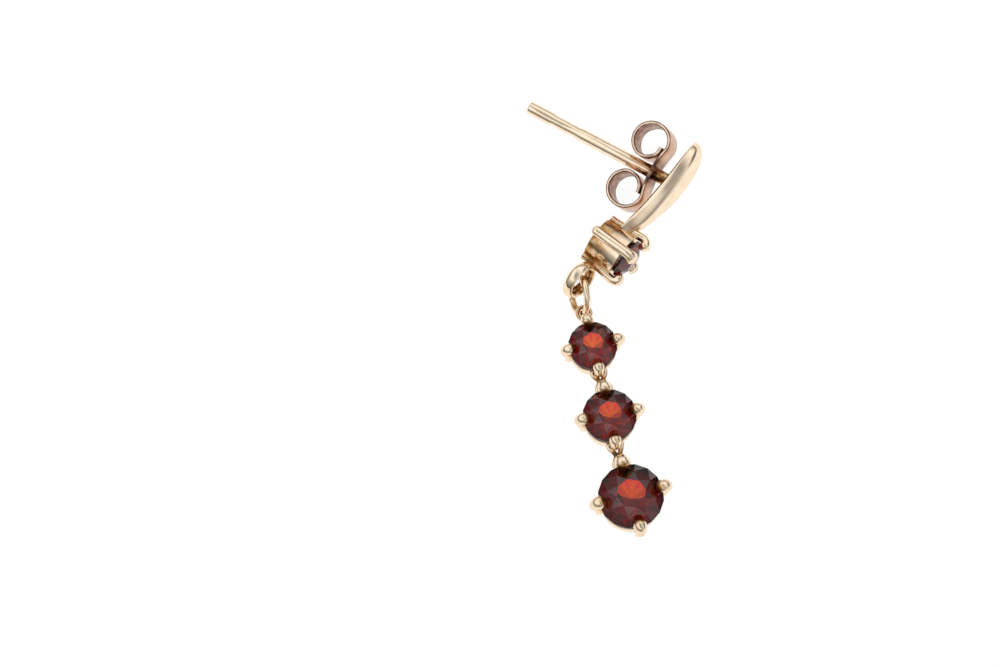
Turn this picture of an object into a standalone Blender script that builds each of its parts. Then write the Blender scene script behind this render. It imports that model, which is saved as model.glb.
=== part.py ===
# Drop earring, lying on a table as it was put down.
#
# A domed bar with a straight post behind it ends in a small claw setting. A ring
# soldered under that setting holds an upright jump ring, and three claw settings hang
# from it in a row, each with a larger round cut stone than the one before. Their
# neighbouring claws are tied by links pinched at the waist. A butterfly back grips
# the post. Up is +Z, the row of drops runs towards -Y, and the origin is under the
# middle of the box around the earring.

import math

import bmesh
import bpy
from mathutils import Matrix, Vector

# Clearances
STONE_GAP = 0.00003        # claw to stone
RING_GAP = 0.00008         # a ring round a wire that it holds
LINK_GAP = 0.00004         # a pinched link round a claw
CLASP_GAP = 0.00004        # butterfly back round the post
SOLDER_BITE = 0.00012      # how far soldered wires sink into each other

# Cut stones
STONE_TABLE = 0.45         # table width as a share of the diameter
STONE_GIRDLE = 0.03        # girdle thickness as a share of the diameter
CROWN_ANGLE = 35.0
PAVILION_ANGLE = 40.0
CROWN_BREAK = 0.72         # radius where star and kite facets meet, as a share
PAVILION_BREAK = 0.28      # radius where the lower facets end, as a share
STONE_SIDES = 16

# Settings: a plain collar with four claws soldered outside it
COLLAR_WALL = 0.00035
COLLAR_TAPER = 0.93        # radius at the back edge as a share of the front edge's
COLLAR_SIDES = 24
CLAW_COUNT = 4
CLAW_TIP_TURN = 98.0       # how far a claw bends over the girdle, in degrees
CLAW_FOOT = 0.00006        # a claw's end above the collar's back edge
CLAW_UPRIGHT = 0.33        # share of the collar's height where a claw starts to spread

# Top setting
TOP_STONE_DIAMETER = 0.0026
TOP_CLAW_WIRE = 0.00053
TOP_CLAW_TIP = 0.00062
TOP_COLLAR_HEIGHT = 0.00172
TOP_COLLAR_DIAMETER = 0.00270
TOP_GIRDLE_RISE = 0.00060  # open height between collar and girdle
TOP_SETTING_TURN = 3.0     # about the bar's width, in degrees
TOP_SETTING_BACK = 0.00102 # how far the collar stands out behind the bar

# Drops, from the ear down. Lengths in metres, angles in degrees from straight down.
DROP_COLUMNS = ("stone", "claw_wire", "claw_tip", "collar", "turn", "link_angle", "claw_distance")
DROP_ROWS = (
    (0.00300, 0.00046, 0.00064, 0.00292, 13.0, 0.0, 0.0),
    (0.00330, 0.00048, 0.00068, 0.00320, 11.0, 16.8, 0.000815),
    (0.00400, 0.00052, 0.00077, 0.00384, 15.0, 17.3, 0.000954),
)
DROP_COLLAR_HEIGHT = 0.00125
DROP_GIRDLE_RISE = 0.00062

# Pinched links between the drops
LINK_WIRE = 0.00030
LINK_WAIST = 0.00038       # between the middles of the two strands
LINK_SINK = 0.00041        # link's middle below the girdles
LINK_POINTS = 28

# Eye soldered to the first drop, jump ring through it, and ring under the top setting
EYE_WIRE = 0.00024
EYE_HEIGHT = 0.00125
EYE_ASIDE = 0.00000
JUMP_RING_DIAMETER = 0.00280
JUMP_RING_WIRE = 0.00042
JUMP_RING_HEADING = 14.0   # from the +Y direction towards -X
JUMP_RING_LEAN = 19.0      # from upright, top towards +X
TOP_RING_DIAMETER = 0.00250
TOP_RING_WIRE = 0.00044
TOP_RING_BAND = 0.00070    # width of its flat wire
TOP_RING_BACK = 0.00000    # across the bar, from its back
TOP_RING_RISE = 0.00015
TOP_RING_LEAN = 14.0       # from upright, top towards the back
RINGS_ACROSS = -0.003      # from ring to ring, as shares of both rings' radii together
RINGS_ALONG = 0.352
RING_SIDES = 16
RING_WIRE_SIDES = 6

# Domed bar. Its own axes: X along the bar to the free end, Y behind it, Z its width.
BAR_WIDTH = 0.0030
BAR_THICKNESS = 0.00118
BAR_SAG = 0.00026          # hollow of the back, end to end
BAR_BELOW_POST = 0.00418
BAR_ABOVE_POST = 0.00290
BAR_ARC_STEPS = 12
BAR_COLUMNS = ("along", "width", "thickness", "wall")
BAR_ROWS = (
    (0.000, 0.42, 0.66, 0.16),
    (0.100, 0.46, 0.78, 0.17),
    (0.220, 0.57, 0.89, 0.20),
    (0.360, 0.73, 0.96, 0.24),
    (0.500, 0.87, 1.00, 0.28),
    (0.640, 0.97, 0.99, 0.32),
    (0.760, 1.00, 0.94, 0.36),
    (0.860, 0.93, 0.85, 0.40),
    (0.930, 0.78, 0.72, 0.42),
    (0.975, 0.54, 0.55, 0.44),
    (1.000, 0.22, 0.34, 0.46),
)
STUD_HEADING = 48.7        # the bar's direction on the table, from +X
STUD_PITCH = 3.9           # the bar's free end is raised

# Post
POST_DIAMETER = 0.0008
POST_LENGTH = 0.0098
POST_ROOT = 0.0003         # length inside the bar
POST_LEAN = 11.5           # towards the top setting
POST_DIP = 2.0
POST_SIDES = 16
POST_CHAMFER = 0.00010
NOTCH_DIAMETER = 0.00070
NOTCH_FROM_TIP = 0.00165
NOTCH_LENGTH = 0.0020
NOTCH_RAMP = 0.00015

# Butterfly back: one strip, a bowed plate with both ends rolled up beside the post
CLASP_STRIP = 0.00028
CLASP_WIDTH = 0.0030
CLASP_ROLL_DIAMETER = 0.00242
CLASP_BOW = 0.00022
CLASP_TUCK = 0.00034       # how much the strip's end turns in
CLASP_TURN = 352.0
CLASP_ROLL_STEPS = 22
CLASP_PLATE_STEPS = 6
CLASP_STANDOFF = 0.00064   # bar's back to the plate's nearest face
CLASP_ROTATION = -11.0


def rows(columns, table):
    return [dict(zip(columns, row)) for row in table]


def turned(angle, x, y):
    """The point (x, y) turned about the origin by an angle in degrees."""
    a = math.radians(angle)
    return Vector((x * math.cos(a) - y * math.sin(a), x * math.sin(a) + y * math.cos(a), 0.0))


def make_material(name, color, roughness, metallic):
    material = bpy.data.materials.new(name)
    material.use_nodes = True
    shader = material.node_tree.nodes["Principled BSDF"]
    shader.inputs["Base Color"].default_value = (*color, 1.0)
    shader.inputs["Roughness"].default_value = roughness
    shader.inputs["Metallic"].default_value = metallic
    return material


def frame(name, parent, location=(0.0, 0.0, 0.0), degrees=(0.0, 0.0, 0.0)):
    """An empty that carries pieces."""
    empty = bpy.data.objects.new(name, None)
    empty.empty_display_size = 0.001
    empty.location = location
    empty.rotation_euler = [math.radians(angle) for angle in degrees]
    empty.parent = parent
    parts.objects.link(empty)
    bpy.context.view_layer.update()
    return empty


def add_object(name, mesh, parent, local=None):
    piece = bpy.data.objects.new(name, mesh)
    piece.parent = parent
    if local is not None:
        piece.matrix_local = local
    parts.objects.link(piece)
    bpy.context.view_layer.update()
    return piece


def mesh_from(bm, name):
    bmesh.ops.recalc_face_normals(bm, faces=bm.faces)
    mesh = bpy.data.meshes.new(name)
    bm.to_mesh(mesh)
    bm.free()
    return mesh


def evaluated_mesh(piece):
    """The piece's mesh with its modifiers, and with a curve's caps welded on."""
    depsgraph = bpy.context.evaluated_depsgraph_get()
    mesh = bpy.data.meshes.new_from_object(piece.evaluated_get(depsgraph))
    bm = bmesh.new()
    bm.from_mesh(mesh)
    bmesh.ops.remove_doubles(bm, verts=bm.verts, dist=1e-8)
    bm.to_mesh(mesh)
    bm.free()
    return mesh


def wire(name, points, radii, parent, sides, closed=False):
    """A round wire through points, made a mesh."""
    curve = bpy.data.curves.new(name, "CURVE")
    curve.dimensions = "3D"
    curve.bevel_depth = 1.0
    curve.bevel_resolution = (sides - 4) // 2
    curve.use_fill_caps = not closed
    spline = curve.splines.new("POLY")
    spline.points.add(len(points) - 1)
    for spot, point, radius in zip(spline.points, points, radii):
        spot.co = (*point, 1.0)
        spot.radius = radius
    spline.use_cyclic_u = closed
    guide = add_object(name + "_path", curve, parent)
    mesh = evaluated_mesh(guide)
    mesh.name = name
    bpy.data.objects.remove(guide)
    return add_object(name, mesh, parent)


def ring(name, diameter, wire_diameter, band, parent, local=None):
    """A wire ring about the parent's Z axis. The wire is as wide as its band."""
    radius = (diameter - wire_diameter) / 2
    bm = bmesh.new()
    loops = []
    for i in range(RING_SIDES):
        around = 2 * math.pi * i / RING_SIDES
        loop = []
        for j in range(RING_WIRE_SIDES):
            across = 2 * math.pi * j / RING_WIRE_SIDES
            out = radius + wire_diameter / 2 * math.cos(across)
            height = band / 2 * math.sin(across)
            loop.append(bm.verts.new((out * math.cos(around), out * math.sin(around), height)))
        loops.append(loop)
    for i, loop in enumerate(loops):
        following = loops[(i + 1) % RING_SIDES]
        for j in range(RING_WIRE_SIDES):
            k = (j + 1) % RING_WIRE_SIDES
            bm.faces.new((loop[j], following[j], following[k], loop[k]))
    return add_object(name, mesh_from(bm, name), parent, local)


def fuse(name, pieces, material):
    """One solid of pieces that are soldered together."""
    body = pieces[0]
    for other in pieces[1:]:
        union = body.modifiers.new(other.name, "BOOLEAN")
        union.operation = "UNION"
        union.solver = "EXACT"
        union.object = other
    body.data = evaluated_mesh(body)
    body.modifiers.clear()
    for other in pieces[1:]:
        bpy.data.objects.remove(other)
    return finish(name, body, material)


def finish(name, body, material):
    body.name = name
    body.data.name = name
    body.data.materials.clear()
    body.data.materials.append(material)
    body.data.shade_smooth()
    body.data.set_sharp_from_angle(angle=math.radians(35))
    return body


def stone_heights(diameter):
    """Heights of a cut stone above the middle of its girdle."""
    radius = diameter / 2
    girdle = STONE_GIRDLE * diameter / 2
    table = girdle + radius * (1 - STONE_TABLE) * math.tan(math.radians(CROWN_ANGLE))
    culet = -girdle - radius * math.tan(math.radians(PAVILION_ANGLE))
    return girdle, table, culet


def brilliant(name, diameter, parent, height):
    """A round cut stone: an eight-sided table, stars, kites and upper and lower facets."""
    radius = diameter / 2
    girdle, table, culet = stone_heights(diameter)
    half_step = 2 * math.pi / STONE_SIDES
    slant = math.cos(half_step)
    table_radius = STONE_TABLE * radius
    # The kites' side corners lie in the plane from the table to the girdle.
    break_radius = CROWN_BREAK * radius
    fall = (break_radius * slant - table_radius) / (radius - table_radius)
    break_height = table + (girdle - table) * fall
    low_radius = PAVILION_BREAK * radius
    low_height = -girdle + (culet + girdle) * (1 - low_radius * slant / radius)
    bm = bmesh.new()
    for i in range(STONE_SIDES):
        c, s = math.cos(i * half_step), math.sin(i * half_step)
        bm.verts.new((radius * c, radius * s, height + girdle))
        bm.verts.new((radius * c, radius * s, height - girdle))
        if i % 2 == 0:
            bm.verts.new((table_radius * c, table_radius * s, height + table))
        else:
            bm.verts.new((break_radius * c, break_radius * s, height + break_height))
            bm.verts.new((low_radius * c, low_radius * s, height + low_height))
    bm.verts.new((0, 0, height + culet))
    bmesh.ops.convex_hull(bm, input=bm.verts)
    flat = math.radians(0.3)
    bmesh.ops.dissolve_limit(bm, angle_limit=flat, verts=bm.verts, edges=bm.edges)
    body = add_object(name, mesh_from(bm, name), parent)
    body.data.materials.append(GARNET)
    return body


def claw_middle(stone, claw_wire):
    """Distance of a claw's middle from the setting's axis, beside the girdle."""
    return stone / 2 + STONE_GAP + claw_wire / 2


def claw_foot(diameter, claw_wire):
    """Distance of a claw's middle from the axis, beside the collar's back edge."""
    return diameter / 2 * COLLAR_TAPER + claw_wire / 2 - SOLDER_BITE


def collar(name, parent, diameter, height):
    """The plain ring at the back of a setting, turned from its wall's outline."""
    outer = diameter / 2
    corners = (
        (outer, height),
        (outer * COLLAR_TAPER, 0.0),
        (outer * COLLAR_TAPER - COLLAR_WALL, 0.0),
        (outer - COLLAR_WALL, height),
    )
    bm = bmesh.new()
    outline = [bm.verts.new((x, 0.0, z)) for x, z in corners]
    for i in range(len(outline)):
        bm.edges.new((outline[i], outline[(i + 1) % len(outline)]))
    mesh = bpy.data.meshes.new(name)
    bm.to_mesh(mesh)
    bm.free()
    body = add_object(name, mesh, parent)
    screw = body.modifiers.new("turn", "SCREW")
    screw.steps = COLLAR_SIDES
    screw.render_steps = COLLAR_SIDES
    screw.use_merge_vertices = True
    screw.merge_threshold = 1e-6
    body.data = evaluated_mesh(body)
    body.modifiers.clear()
    return body


def claw_face(stone, claw_wire, diameter, height, girdle_height, level):
    """Distance of a claw's outer face from the axis, at a level above the back edge."""
    foot = claw_foot(diameter, claw_wire)
    upright = height * CLAW_UPRIGHT
    share = (level - upright) / (girdle_height - upright)
    return foot + (claw_middle(stone, claw_wire) - foot) * share + claw_wire / 2


def claws(name, parent, stone, claw_wire, claw_tip, diameter, height, girdle_height):
    """Four claws: straight beside the collar, then bent over the girdle to a blunt tip."""
    radius = claw_wire / 2
    tip = claw_tip / 2
    edge = stone_heights(stone)[0]
    corner = Vector((stone / 2, 0.0, girdle_height + edge))
    foot = claw_foot(diameter, claw_wire)
    beside = claw_middle(stone, claw_wire)
    path = [Vector((foot, 0.0, CLAW_FOOT)), Vector((foot, 0.0, height * CLAW_UPRIGHT))]
    path.append(Vector((beside, 0.0, girdle_height - edge)))
    radii = [radius] * len(path)
    steps = 5
    for i in range(steps + 1):
        share = i / steps
        angle = math.radians(CLAW_TIP_TURN * share)
        size = radius + (tip - radius) * share
        reach = size + STONE_GAP
        path.append(corner + Vector((math.cos(angle), 0.0, math.sin(angle))) * reach)
        radii.append(size)
    slope = math.radians(CROWN_ANGLE)
    inward = Vector((-math.cos(slope), 0.0, math.sin(slope)))
    last = path[-1]
    for share, size in ((0.45, 0.86), (0.75, 0.45)):
        path.append(last + inward * tip * share)
        radii.append(tip * size)
    made = []
    for i in range(CLAW_COUNT):
        turn = Matrix.Rotation(2 * math.pi * i / CLAW_COUNT, 3, "Z")
        made.append(wire(f"{name}_{i}", [turn @ point for point in path], radii, parent, 8))
    return made


def drop_girdle_height():
    return DROP_COLLAR_HEIGHT + DROP_GIRDLE_RISE


# A straight start: nothing in the file but this model.
for old in list(bpy.data.objects):
    bpy.data.objects.remove(old)
for name in ("drop_earring", "cutters"):
    bpy.context.scene.collection.children.link(bpy.data.collections.new(name))
parts = bpy.data.collections["drop_earring"]
cutters = bpy.data.collections["cutters"]

GOLD = make_material("gold", (0.86, 0.66, 0.40), 0.22, 1.0)
CLASP_GOLD = make_material("clasp_gold", (0.80, 0.58, 0.40), 0.30, 1.0)
GARNET = make_material("garnet", (0.32, 0.02, 0.03), 0.05, 0.0)

earring = frame("earring", None)

# Drops: each hangs with its upper claw below the lower claw of the one above.
drops = rows(DROP_COLUMNS, DROP_ROWS)
place = Vector((0.0, 0.0, 0.0))
for i, drop in enumerate(drops):
    reach = claw_middle(drop["stone"], drop["claw_wire"])
    if i > 0:
        above = drops[i - 1]
        place = above["lower_claw"] + turned(drop["link_angle"], 0.0, -drop["claw_distance"])
        place = place - turned(drop["turn"], 0.0, reach)
    drop["place"] = place
    drop["upper_claw"] = place + turned(drop["turn"], 0.0, reach)
    drop["lower_claw"] = place + turned(drop["turn"], 0.0, -reach)
    drop["frame"] = frame(f"drop_{i + 1}", earring, place, (0.0, 0.0, drop["turn"]))

# The eye on the first drop stands out from its upper claw.
first = drops[0]
eye_hole = JUMP_RING_WIRE + 2 * RING_GAP
eye_diameter = eye_hole + 2 * EYE_WIRE
eye_seat = claw_face(
    first["stone"], first["claw_wire"], first["collar"], DROP_COLLAR_HEIGHT,
    drop_girdle_height(), EYE_HEIGHT,
)
eye_reach = eye_seat - SOLDER_BITE + eye_diameter / 2

for i, drop in enumerate(drops):
    number = i + 1
    carrier = drop["frame"]
    girdle_height = drop_girdle_height()
    pieces = [collar(f"collar_{number}", carrier, drop["collar"], DROP_COLLAR_HEIGHT)]
    pieces += claws(
        f"claw_{number}", carrier, drop["stone"], drop["claw_wire"], drop["claw_tip"],
        drop["collar"], DROP_COLLAR_HEIGHT, girdle_height,
    )
    if i == 0:
        seat = Matrix.Translation((EYE_ASIDE, eye_reach, EYE_HEIGHT))
        pieces.append(ring("eye", eye_diameter, EYE_WIRE, EYE_WIRE, carrier, seat))
    fuse(f"drop_setting_{number}", pieces, GOLD)
    brilliant(f"drop_stone_{number}", drop["stone"], carrier, girdle_height)

# Pinched links: a loop round each of two neighbouring claws.
for i in range(1, len(drops)):
    upper, lower = drops[i - 1], drops[i]
    start, end = upper["lower_claw"], lower["upper_claw"]
    along = end - start
    length = along.length
    lobes = (
        upper["claw_wire"] / 2 + LINK_GAP + LINK_WIRE / 2,
        lower["claw_wire"] / 2 + LINK_GAP + LINK_WIRE / 2,
    )
    points = []
    for k in range(LINK_POINTS):
        angle = 2 * math.pi * (k + 0.5) / LINK_POINTS
        c, s = math.cos(angle), math.sin(angle)
        lobe = lobes[1] if c > 0 else lobes[0]
        # Round the claws at the ends, and drawn in between them.
        x = math.copysign(length / 2, c) * min(1.0, abs(c) * 2.0) + lobe * c * abs(c) ** 0.5
        near = min(1.0, abs(x) / (length / 2))
        side = LINK_WAIST / 2 + (lobe - LINK_WAIST / 2) * near ** 1.6
        y = math.copysign(side, s) * min(1.0, abs(s) * 1.25) ** 0.8
        points.append(Vector((x, y, 0.0)))
    middle = (start + end) / 2
    middle.z = drop_girdle_height() - LINK_SINK
    heading = math.degrees(math.atan2(along.y, along.x))
    carrier = frame(f"link_{i}_place", earring, middle, (0.0, 0.0, heading))
    loop = wire(f"link_{i}", points, [LINK_WIRE / 2] * len(points), carrier, 6, closed=True)
    finish(f"link_{i}", loop, GOLD)

# Jump ring: upright, leaning a little, through the first drop's eye.
jump_radius = (JUMP_RING_DIAMETER - JUMP_RING_WIRE) / 2
eye_place = first["place"] + turned(first["turn"], EYE_ASIDE, eye_reach)
jump_height = jump_radius * math.cos(math.radians(JUMP_RING_LEAN)) + JUMP_RING_WIRE / 2
jump_place = eye_place + turned(JUMP_RING_HEADING, 0.0, jump_radius)
jump_place.z = jump_height
jump_frame = frame(
    "jump_ring_place", earring, jump_place, (0.0, 90.0 + JUMP_RING_LEAN, JUMP_RING_HEADING)
)
jump_ring = ring("jump_ring", JUMP_RING_DIAMETER, JUMP_RING_WIRE, JUMP_RING_WIRE, jump_frame)
finish("jump_ring", jump_ring, GOLD)

# Where the stud is: its top ring interlocks with the jump ring, and the lower of the
# top setting's lowest claw and the butterfly back's lowest corner rests on the table.
top_reach = claw_middle(TOP_STONE_DIAMETER, TOP_CLAW_WIRE)
setting_along = -(BAR_BELOW_POST + TOP_COLLAR_DIAMETER / 2 - SOLDER_BITE / 2)
top_ring_radius = (TOP_RING_DIAMETER - TOP_RING_WIRE) / 2
top_girdle_height = TOP_COLLAR_HEIGHT + TOP_GIRDLE_RISE
top_ring_level = TOP_SETTING_BACK - TOP_RING_BACK
top_ring_seat = claw_face(
    TOP_STONE_DIAMETER, TOP_CLAW_WIRE, TOP_COLLAR_DIAMETER, TOP_COLLAR_HEIGHT,
    top_girdle_height, top_ring_level,
)
top_ring_end = turned(TOP_SETTING_TURN, -top_ring_seat, -top_ring_level)
top_ring_along = setting_along + top_ring_end.x - TOP_RING_DIAMETER / 2 + SOLDER_BITE
pitch = math.radians(STUD_PITCH)
claw_rest = top_reach + TOP_CLAW_WIRE / 2 - setting_along * math.sin(pitch)
clasp_tilt = math.radians(-CLASP_ROTATION)
clasp_reach = POST_DIAMETER / 2 + CLASP_GAP + CLASP_ROLL_DIAMETER
clasp_middle = CLASP_STANDOFF + CLASP_ROLL_DIAMETER / 2
clasp_rest = (
    CLASP_WIDTH / 2 * math.cos(clasp_tilt)
    + clasp_reach * math.sin(clasp_tilt + pitch)
    + clasp_middle * math.sin(math.radians(POST_DIP + POST_LEAN * pitch))
)
stud_height = max(claw_rest, clasp_rest)
rings = jump_radius + top_ring_radius
ring_place = jump_place + Vector((RINGS_ACROSS * rings, RINGS_ALONG * rings, 0.0))
stud_place = ring_place - turned(STUD_HEADING, top_ring_along * math.cos(pitch), TOP_RING_BACK)
stud_place.z = stud_height
stud = frame("stud_axes", earring, stud_place, (0.0, -STUD_PITCH, STUD_HEADING))

# Bar: sections along its length, with a flat back, short side walls and a dome.
bar_length = BAR_BELOW_POST + BAR_ABOVE_POST
bar_middle = bar_length / 2 - BAR_BELOW_POST


def back_of_bar(x):
    """How far the bar's back stands behind its place at the post."""
    bend = ((x - bar_middle) / (bar_length / 2)) ** 2
    at_post = (bar_middle / (bar_length / 2)) ** 2
    return BAR_SAG * (bend - at_post)


def make_bar():
    bm = bmesh.new()
    sections = []
    for row in rows(BAR_COLUMNS, BAR_ROWS):
        x = row["along"] * bar_length - BAR_BELOW_POST
        half = row["width"] * BAR_WIDTH / 2
        thickness = row["thickness"] * BAR_THICKNESS
        wall = row["wall"] * thickness
        back = back_of_bar(x)
        outline = [(back, half)]
        for i in range(BAR_ARC_STEPS + 1):
            angle = math.pi * i / BAR_ARC_STEPS
            dome = wall + (thickness - wall) * math.sin(angle)
            outline.append((back - dome, half * math.cos(angle)))
        outline.append((back, -half))
        sections.append([bm.verts.new((x, y, z)) for y, z in outline])
    count = len(sections[0])
    for one, two in zip(sections, sections[1:]):
        for i in range(count):
            j = (i + 1) % count
            bm.faces.new((one[i], one[j], two[j], two[i]))
    bm.faces.new(sections[0])
    bm.faces.new(sections[-1])
    return add_object("bar", mesh_from(bm, "bar"), stud)


def make_post():
    """The post, turned from an outline that runs down its outer side."""
    radius = POST_DIAMETER / 2
    notch = NOTCH_DIAMETER / 2
    top = POST_LENGTH
    notch_top = top - NOTCH_FROM_TIP
    notch_end = notch_top - NOTCH_LENGTH
    outline = (
        (0.0, top),
        (radius - POST_CHAMFER, top),
        (radius, top - POST_CHAMFER),
        (radius, notch_top),
        (notch, notch_top - NOTCH_RAMP),
        (notch, notch_end + NOTCH_RAMP),
        (radius, notch_end),
        (radius, -POST_ROOT),
        (0.0, -POST_ROOT),
    )
    bm = bmesh.new()
    spots = [bm.verts.new((x, 0.0, z)) for x, z in outline]
    for one, two in zip(spots, spots[1:]):
        bm.edges.new((one, two))
    mesh = bpy.data.meshes.new("post")
    bm.to_mesh(mesh)
    bm.free()
    body = add_object("post", mesh, post_frame)
    screw = body.modifiers.new("turn", "SCREW")
    screw.steps = POST_SIDES
    screw.render_steps = POST_SIDES
    screw.use_merge_vertices = True
    screw.merge_threshold = 1e-6
    body.data = evaluated_mesh(body)
    body.modifiers.clear()
    return body


post_frame = frame("post_axis", stud, (0.0, 0.0, 0.0), (-90.0 - POST_DIP, 0.0, POST_LEAN))
top_frame = frame(
    "top_setting_axes", stud, (setting_along, TOP_SETTING_BACK, 0.0), (90.0, 0.0, TOP_SETTING_TURN)
)
ring_seat = Matrix.Translation((top_ring_along, TOP_RING_BACK, TOP_RING_RISE)) @ Matrix.Rotation(
    math.radians(90.0 - TOP_RING_LEAN), 4, "X"
)
stud_pieces = [make_bar(), make_post()]
stud_pieces.append(collar("top_collar", top_frame, TOP_COLLAR_DIAMETER, TOP_COLLAR_HEIGHT))
stud_pieces += claws(
    "top_claw", top_frame, TOP_STONE_DIAMETER, TOP_CLAW_WIRE, TOP_CLAW_TIP,
    TOP_COLLAR_DIAMETER, TOP_COLLAR_HEIGHT, top_girdle_height,
)
stud_pieces.append(
    ring("top_ring", TOP_RING_DIAMETER, TOP_RING_WIRE, TOP_RING_BAND, stud, ring_seat)
)
fuse("stud", stud_pieces, GOLD)
brilliant("top_stone", TOP_STONE_DIAMETER, top_frame, top_girdle_height)


def make_clasp():
    """The butterfly back: the strip's middle line, given width and thickness."""
    roll = (CLASP_ROLL_DIAMETER - CLASP_STRIP) / 2
    aside = POST_DIAMETER / 2 + CLASP_GAP + CLASP_STRIP / 2 + roll
    half = []
    for i in range(CLASP_PLATE_STEPS):
        share = i / CLASP_PLATE_STEPS
        half.append((aside * share, CLASP_BOW * (1 - share * share)))
    settled = 250.0
    for i in range(CLASP_ROLL_STEPS + 1):
        turn = CLASP_TURN * i / CLASP_ROLL_STEPS
        tuck = CLASP_TUCK * max(0.0, turn - settled) / (CLASP_TURN - settled)
        angle = math.radians(turn - 90.0)
        radius = roll - tuck
        half.append((aside + radius * math.cos(angle), roll + radius * math.sin(angle)))
    line = [(-x, z) for x, z in reversed(half[1:])] + half
    bm = bmesh.new()
    near = [bm.verts.new((x, -CLASP_WIDTH / 2, z)) for x, z in line]
    far = [bm.verts.new((x, CLASP_WIDTH / 2, z)) for x, z in line]
    for i in range(len(line) - 1):
        bm.faces.new((near[i], near[i + 1], far[i + 1], far[i]))
    mesh = bpy.data.meshes.new("butterfly_clasp")
    bm.to_mesh(mesh)
    bm.free()
    body = add_object("butterfly_clasp", mesh, clasp_frame)
    solid = body.modifiers.new("strip", "SOLIDIFY")
    solid.thickness = CLASP_STRIP
    solid.offset = 0.0
    solid.use_even_offset = True
    body.data = evaluated_mesh(body)
    body.modifiers.clear()
    return body


clasp_height = CLASP_STANDOFF + CLASP_STRIP / 2
clasp_frame = frame("clasp_axis", post_frame, (0.0, 0.0, clasp_height), (0.0, 0.0, CLASP_ROTATION))
clasp = make_clasp()
bpy.ops.mesh.primitive_cylinder_add(
    vertices=POST_SIDES, radius=POST_DIAMETER / 2 + CLASP_GAP, depth=2 * CLASP_ROLL_DIAMETER
)
hole = bpy.context.object
hole.name = "clasp_hole"
hole.parent = post_frame
hole.location = (0.0, 0.0, clasp_height)
hole.hide_render = True
hole.display_type = "WIRE"
for owner in list(hole.users_collection):
    owner.objects.unlink(hole)
cutters.objects.link(hole)
bpy.context.view_layer.update()
cut = clasp.modifiers.new("hole", "BOOLEAN")
cut.operation = "DIFFERENCE"
cut.solver = "EXACT"
cut.object = hole
finish("butterfly_clasp", clasp, CLASP_GOLD)

# The origin goes under the middle of the box around the earring.
bpy.context.view_layer.update()
graph = bpy.context.evaluated_depsgraph_get()
corners = []
for piece in parts.objects:
    if piece.type == "MESH":
        shaped = piece.evaluated_get(graph)
        corners += [shaped.matrix_world @ vertex.co for vertex in shaped.data.vertices]
low = Vector([min(corner[i] for corner in corners) for i in range(3)])
high = Vector([max(corner[i] for corner in corners) for i in range(3)])
earring.location = (-(low.x + high.x) / 2, -(low.y + high.y) / 2, -low.z)
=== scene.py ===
import math

import bmesh
import bpy
from mathutils import Euler, Matrix, Vector, noise


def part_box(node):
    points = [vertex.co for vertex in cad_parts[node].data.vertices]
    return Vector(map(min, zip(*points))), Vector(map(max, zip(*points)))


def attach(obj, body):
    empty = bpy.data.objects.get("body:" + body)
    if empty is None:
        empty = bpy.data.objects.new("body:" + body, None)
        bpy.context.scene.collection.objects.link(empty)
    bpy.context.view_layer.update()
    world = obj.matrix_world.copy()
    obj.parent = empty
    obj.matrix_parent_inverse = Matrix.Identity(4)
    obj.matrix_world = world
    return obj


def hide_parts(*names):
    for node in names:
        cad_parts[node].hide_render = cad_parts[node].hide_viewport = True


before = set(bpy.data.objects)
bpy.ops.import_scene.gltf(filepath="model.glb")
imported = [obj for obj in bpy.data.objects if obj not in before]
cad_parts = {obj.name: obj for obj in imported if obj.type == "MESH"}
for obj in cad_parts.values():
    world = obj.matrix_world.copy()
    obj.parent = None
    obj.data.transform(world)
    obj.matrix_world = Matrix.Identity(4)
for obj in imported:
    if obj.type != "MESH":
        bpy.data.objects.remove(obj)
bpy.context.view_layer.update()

# Sizes of the model, in metres and degrees
STONE_GAP = 0.00003
RING_GAP = 0.00008
LINK_GAP = 0.00004
CLASP_GAP = 0.00004
SOLDER_BITE = 0.00012
STONE_TABLE = 0.45
STONE_GIRDLE = 0.03
CROWN_ANGLE = 35.0
PAVILION_ANGLE = 37.0
CROWN_BREAK = 0.72
PAVILION_BREAK = 0.28
STONE_SIDES = 16
COLLAR_WALL = 0.00035
COLLAR_TAPER = 0.93
CLAW_TIP_TURN = 98.0
CLAW_FOOT = 0.00006
CLAW_UPRIGHT = 0.33
TOP_STONE = 0.0026
TOP_CLAW_WIRE = 0.00053
TOP_CLAW_TIP = 0.00062
TOP_COLLAR_HEIGHT = 0.00172
TOP_COLLAR_DIAMETER = 0.00270
TOP_GIRDLE_RISE = 0.00060
TOP_SETTING_TURN = 3.0
TOP_SETTING_BACK = 0.00102
DROP_COLUMNS = ("stone", "claw_wire", "claw_tip", "collar", "turn", "link_angle", "claw_distance")
DROP_ROWS = (
    (0.00300, 0.00046, 0.00064, 0.00292, 13.0, 0.0, 0.0),
    (0.00330, 0.00048, 0.00068, 0.00320, 11.0, 16.8, 0.000815),
    (0.00400, 0.00052, 0.00077, 0.00384, 15.0, 17.3, 0.000954),
)
DROP_COLLAR_HEIGHT = 0.00125
DROP_GIRDLE_RISE = 0.00062
LINK_WIRE = 0.00030
LINK_WAIST = 0.00038
LINK_SINK = 0.00041
EYE_WIRE = 0.00024
EYE_HEIGHT = 0.00125
EYE_ASIDE = 0.0
JUMP_RING_DIAMETER = 0.00280
JUMP_RING_WIRE = 0.00042
JUMP_RING_HEADING = 14.0
JUMP_RING_LEAN = 19.0
TOP_RING_DIAMETER = 0.00250
TOP_RING_WIRE = 0.00044
TOP_RING_BAND = 0.00070
TOP_RING_BACK = 0.0
TOP_RING_RISE = 0.00015
TOP_RING_LEAN = 14.0
RINGS_ACROSS = -0.003
RINGS_ALONG = 0.352
BAR_WIDTH = 0.0030
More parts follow.
